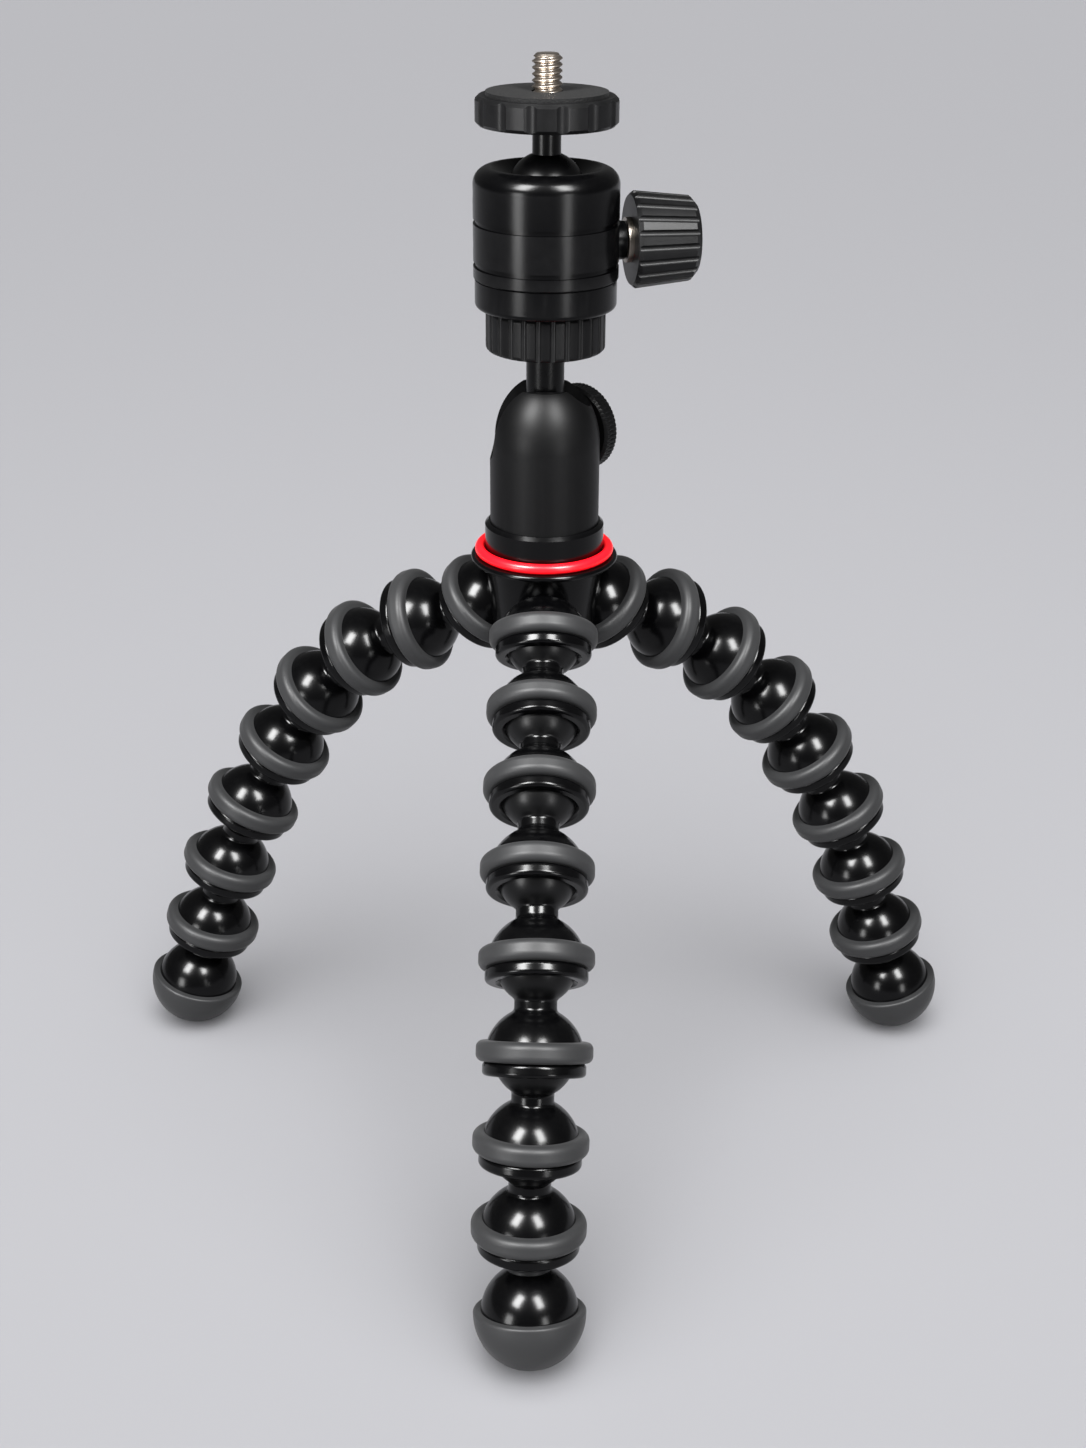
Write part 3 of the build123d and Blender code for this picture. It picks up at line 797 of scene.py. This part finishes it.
@dataclass
class CameraPlate(SubAssembly):
    """The camera disc with its pad and the threaded camera screw.

    The crest is the flat share of the thread's rise, at its top and at its root.
    """

    pitch: float = 1.27 * MM
    outer_radius: float = 3.175 * MM
    thread_depth: float = 0.62 * MM
    crest: float = 0.16
    tip_bevel: float = 0.9 * MM
    points_round: int = 72
    rings_per_turn: int = 18
    smooth_angle: float = 50

    def build(self) -> None:
        """Dresses the disc and the pad, and cuts the screw's thread."""
        self.dress_node("camera_disc", KNOB_PLASTIC)
        self.dress_node("camera_pad", PAD_RUBBER)
        low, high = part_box("camera_screw")
        middle = (low + high) / 2
        place = Matrix.Translation(Vector((middle.x, middle.y, 0)))
        rings = self._thread(low.z, high.z)
        screw = ringed_piece("camera_screw_threaded", rings, place, self.smooth_angle)
        self.add(screw, "camera_disc", ["camera_screw"], NICKEL)

    def _radius(self, angle: float, height: float, top: float) -> float:
        """Gives the radius of the thread's surface.

        Args:
            angle: Angle round the screw.
            height: Height on the screw.
            top: Height of the screw's tip.

        Returns:
            The radius.
        """
        rise = ridge(height / self.pitch - angle / math.tau)
        depth = min(max((rise - self.crest) / (1 - 2 * self.crest), 0.0), 1.0)
        bevel = self.outer_radius - self.tip_bevel + (top - height)
        return min(self.outer_radius - self.thread_depth * depth, bevel)

    def _thread(self, bottom: float, top: float) -> list[list[Vector]]:
        """Gives the rings of the screw from its root to its tip.

        Args:
            bottom: Height of the root.
            top: Height of the tip.

        Returns:
            The rings of points.
        """
        count = math.ceil((top - bottom) / self.pitch * self.rings_per_turn)
        rows = []
        for step in range(count + 1):
            z = bottom + (top - bottom) * step / count
            rows.append(ring_points(lambda a, z=z: self._radius(a, z, top), z, self.points_round))
        return rows


@dataclass(frozen=True)
class SoftBox:
    """One rectangular light, placed by its direction from the head.

    Angles are in degrees, the distance and the size in metres, the power in watts.
    """

    name: str
    azimuth: float
    elevation: float
    distance: float
    size: tuple[float, float]
    power: float


@dataclass(frozen=True)
class FloorSun:
    """One distant light for the floor alone. Its spread and elevation are in degrees."""

    name: str
    strength: float
    spread: float
    elevation: float
    casts_shadow: bool


@dataclass
class Studio:
    """Camera, floor and lights.

    The soft boxes light only the tripod, and the glow and the distant lights only the floor, so
    that black gloss and a pale floor both come out as photographed. The sensor and its lens are
    in millimetres, and the focal length in pixels of the whole photograph.
    """

    focal_pixels: float = 2000.0
    image_height: int = 1448
    sensor: float = 36.0
    pitch_down: float = 25.0
    roll: float = 0.37
    back: float = 432.3 * MM
    height: float = 303.2 * MM
    nearest: float = 10 * MM
    floor_half: float = 6.0
    floor_colour: Colour = (0.6, 0.6, 0.63)
    floor_roughness: float = 0.8
    ambient: float = 0.12
    boxes: tuple[SoftBox, ...] = (
        SoftBox("key_left", -42, 44, 0.75, (0.25, 0.42), 23.0),
        SoftBox("key_right", 33, 44, 0.75, (0.22, 0.42), 18.0),
        SoftBox("strip_left", -44, -2, 0.9, (0.22, 0.32), 4.2),
        SoftBox("strip_right", 33, -2, 0.9, (0.16, 0.32), 2.2),
    )
    floor_glow: SoftBox = SoftBox("floor_glow", 0, 75, 0.6, (0.6, 0.6), 1.5)
    suns: tuple[FloorSun, ...] = (
        FloorSun("floor_shade", 1.0, 50, 55, True),
        FloorSun("floor_fill", 1.65, 90, 60, False),
    )

    def build(self) -> None:
        """Sets up the camera, the floor, the lights and the ambient light."""
        bpy.context.scene.view_settings.view_transform = "Standard"
        self._camera()
        floor = self._floor()
        self._world()
        lit = self._light_group("only_floor", floor, "INCLUDE")
        unlit = self._light_group("all_but_floor", floor, "EXCLUDE")
        for box in self.boxes:
            self._soft_box(box).light_linking.receiver_collection = unlit
        self._soft_box(self.floor_glow).light_linking.receiver_collection = lit
        for sun in self.suns:
            self._sun(sun).light_linking.receiver_collection = lit

    def _camera(self) -> None:
        """Makes the camera at the photograph's place."""
        head = Frame.point("upper_head_turn")
        data = bpy.data.cameras.new("camera")
        data.sensor_fit = "VERTICAL"
        data.sensor_height = self.sensor
        data.lens = self.focal_pixels * self.sensor / self.image_height
        data.clip_start = self.nearest
        camera = bpy.data.objects.new("camera", data)
        turn = Matrix.Rotation(math.radians(90 - self.pitch_down), 4, "X")
        roll = Matrix.Rotation(math.radians(self.roll), 4, "Z")
        place = Matrix.Translation((head.x, head.y - self.back, self.height))
        camera.matrix_world = place @ turn @ roll
        bpy.context.scene.collection.objects.link(camera)
        bpy.context.scene.camera = camera

    def _floor(self) -> bpy.types.Object:
        """Makes the pale table top, far wider than the photograph shows.

        Returns:
            The floor.
        """
        half = self.floor_half
        mesh = bpy.data.meshes.new("floor")
        corners = [(-half, -half, 0), (half, -half, 0), (half, half, 0), (-half, half, 0)]
        mesh.from_pydata(corners, [], [(0, 1, 2, 3)])
        floor = bpy.data.objects.new("floor", mesh)
        bpy.context.scene.collection.objects.link(floor)
        material = bpy.data.materials.new("floor_paper")
        material.use_nodes = True
        shader = material.node_tree.nodes["Principled BSDF"]
        shader.inputs["Base Color"].default_value = (*self.floor_colour, 1.0)
        shader.inputs["Roughness"].default_value = self.floor_roughness
        shader.inputs["Specular IOR Level"].default_value = 0.0
        mesh.materials.append(material)
        return floor

    def _world(self) -> None:
        """Sets a faint even ambient light."""
        world = bpy.data.worlds.new("studio")
        world.use_nodes = True
        background = world.node_tree.nodes["Background"]
        background.inputs["Color"].default_value = (1.0, 1.0, 1.0, 1.0)
        background.inputs["Strength"].default_value = self.ambient
        bpy.context.scene.world = world

    @staticmethod
    def _light_group(name: str, floor: bpy.types.Object, state: str) -> bpy.types.Collection:
        """Makes a group that tells a light whether it falls on the floor.

        Args:
            name: The group's name.
            floor: The floor.
            state: "INCLUDE" to light only the floor, "EXCLUDE" to light all but the floor.

        Returns:
            The group.
        """
        group = bpy.data.collections.new(name)
        group.objects.link(floor)
        group.collection_objects[0].light_linking.link_state = state
        return group

    @staticmethod
    def _away(azimuth: float, elevation: float) -> Vector:
        """Gives the direction from the tripod to a light.

        Args:
            azimuth: Angle round the tripod from the camera's side, in degrees.
            elevation: Angle above level, in degrees.

        Returns:
            The direction.
        """
        level = math.cos(math.radians(elevation))
        return Vector((
            math.sin(math.radians(azimuth)) * level,
            -math.cos(math.radians(azimuth)) * level,
            math.sin(math.radians(elevation)),
        ))

    def _soft_box(self, box: SoftBox) -> bpy.types.Object:
        """Makes one soft box that faces the head.

        Args:
            box: The soft box.

        Returns:
            The light.
        """
        data = bpy.data.lights.new(box.name, "AREA")
        data.shape = "RECTANGLE"
        data.size, data.size_y = box.size
        data.energy = box.power
        away = self._away(box.azimuth, box.elevation)
        turn = away.to_track_quat("Z", "Y").to_matrix().to_4x4()
        head = Frame.point("upper_head_turn")
        return self._place(data, Matrix.Translation(head + away * box.distance) @ turn)

    def _sun(self, sun: FloorSun) -> bpy.types.Object:
        """Makes one distant light from the camera's side.

        Args:
            sun: The distant light.

        Returns:
            The light.
        """
        data = bpy.data.lights.new(sun.name, "SUN")
        data.energy = sun.strength
        data.angle = math.radians(sun.spread)
        data.use_shadow = sun.casts_shadow
        turn = self._away(0, sun.elevation).to_track_quat("Z", "Y").to_matrix().to_4x4()
        return self._place(data, turn)

    @staticmethod
    def _place(data: bpy.types.Light, place: Matrix) -> bpy.types.Object:
        """Puts a light into the scene.

        Args:
            data: The light's data.
            place: Where it goes.

        Returns:
            The light.
        """
        light = bpy.data.objects.new(data.name, data)
        light.matrix_world = place
        bpy.context.scene.collection.objects.link(light)
        return light


def main() -> None:
    """Builds the studio and the sub-assemblies in order, and reports each piece."""
    logging.basicConfig(level=logging.INFO, format="%(name)s: %(message)s")
    Studio().build()
    shop = Paintshop()
    groups: list[SubAssembly] = [Hub(shop), LowerHead(shop), UpperHead(shop), CameraPlate(shop)]
    groups += [Leg(shop, side=side) for side in ("front", "left", "right")]
    for group in groups:
        group.build()
        for name in group.done:
            log.info("%s: %s", type(group).__name__, name)


if __name__ == "__main__":
    main()
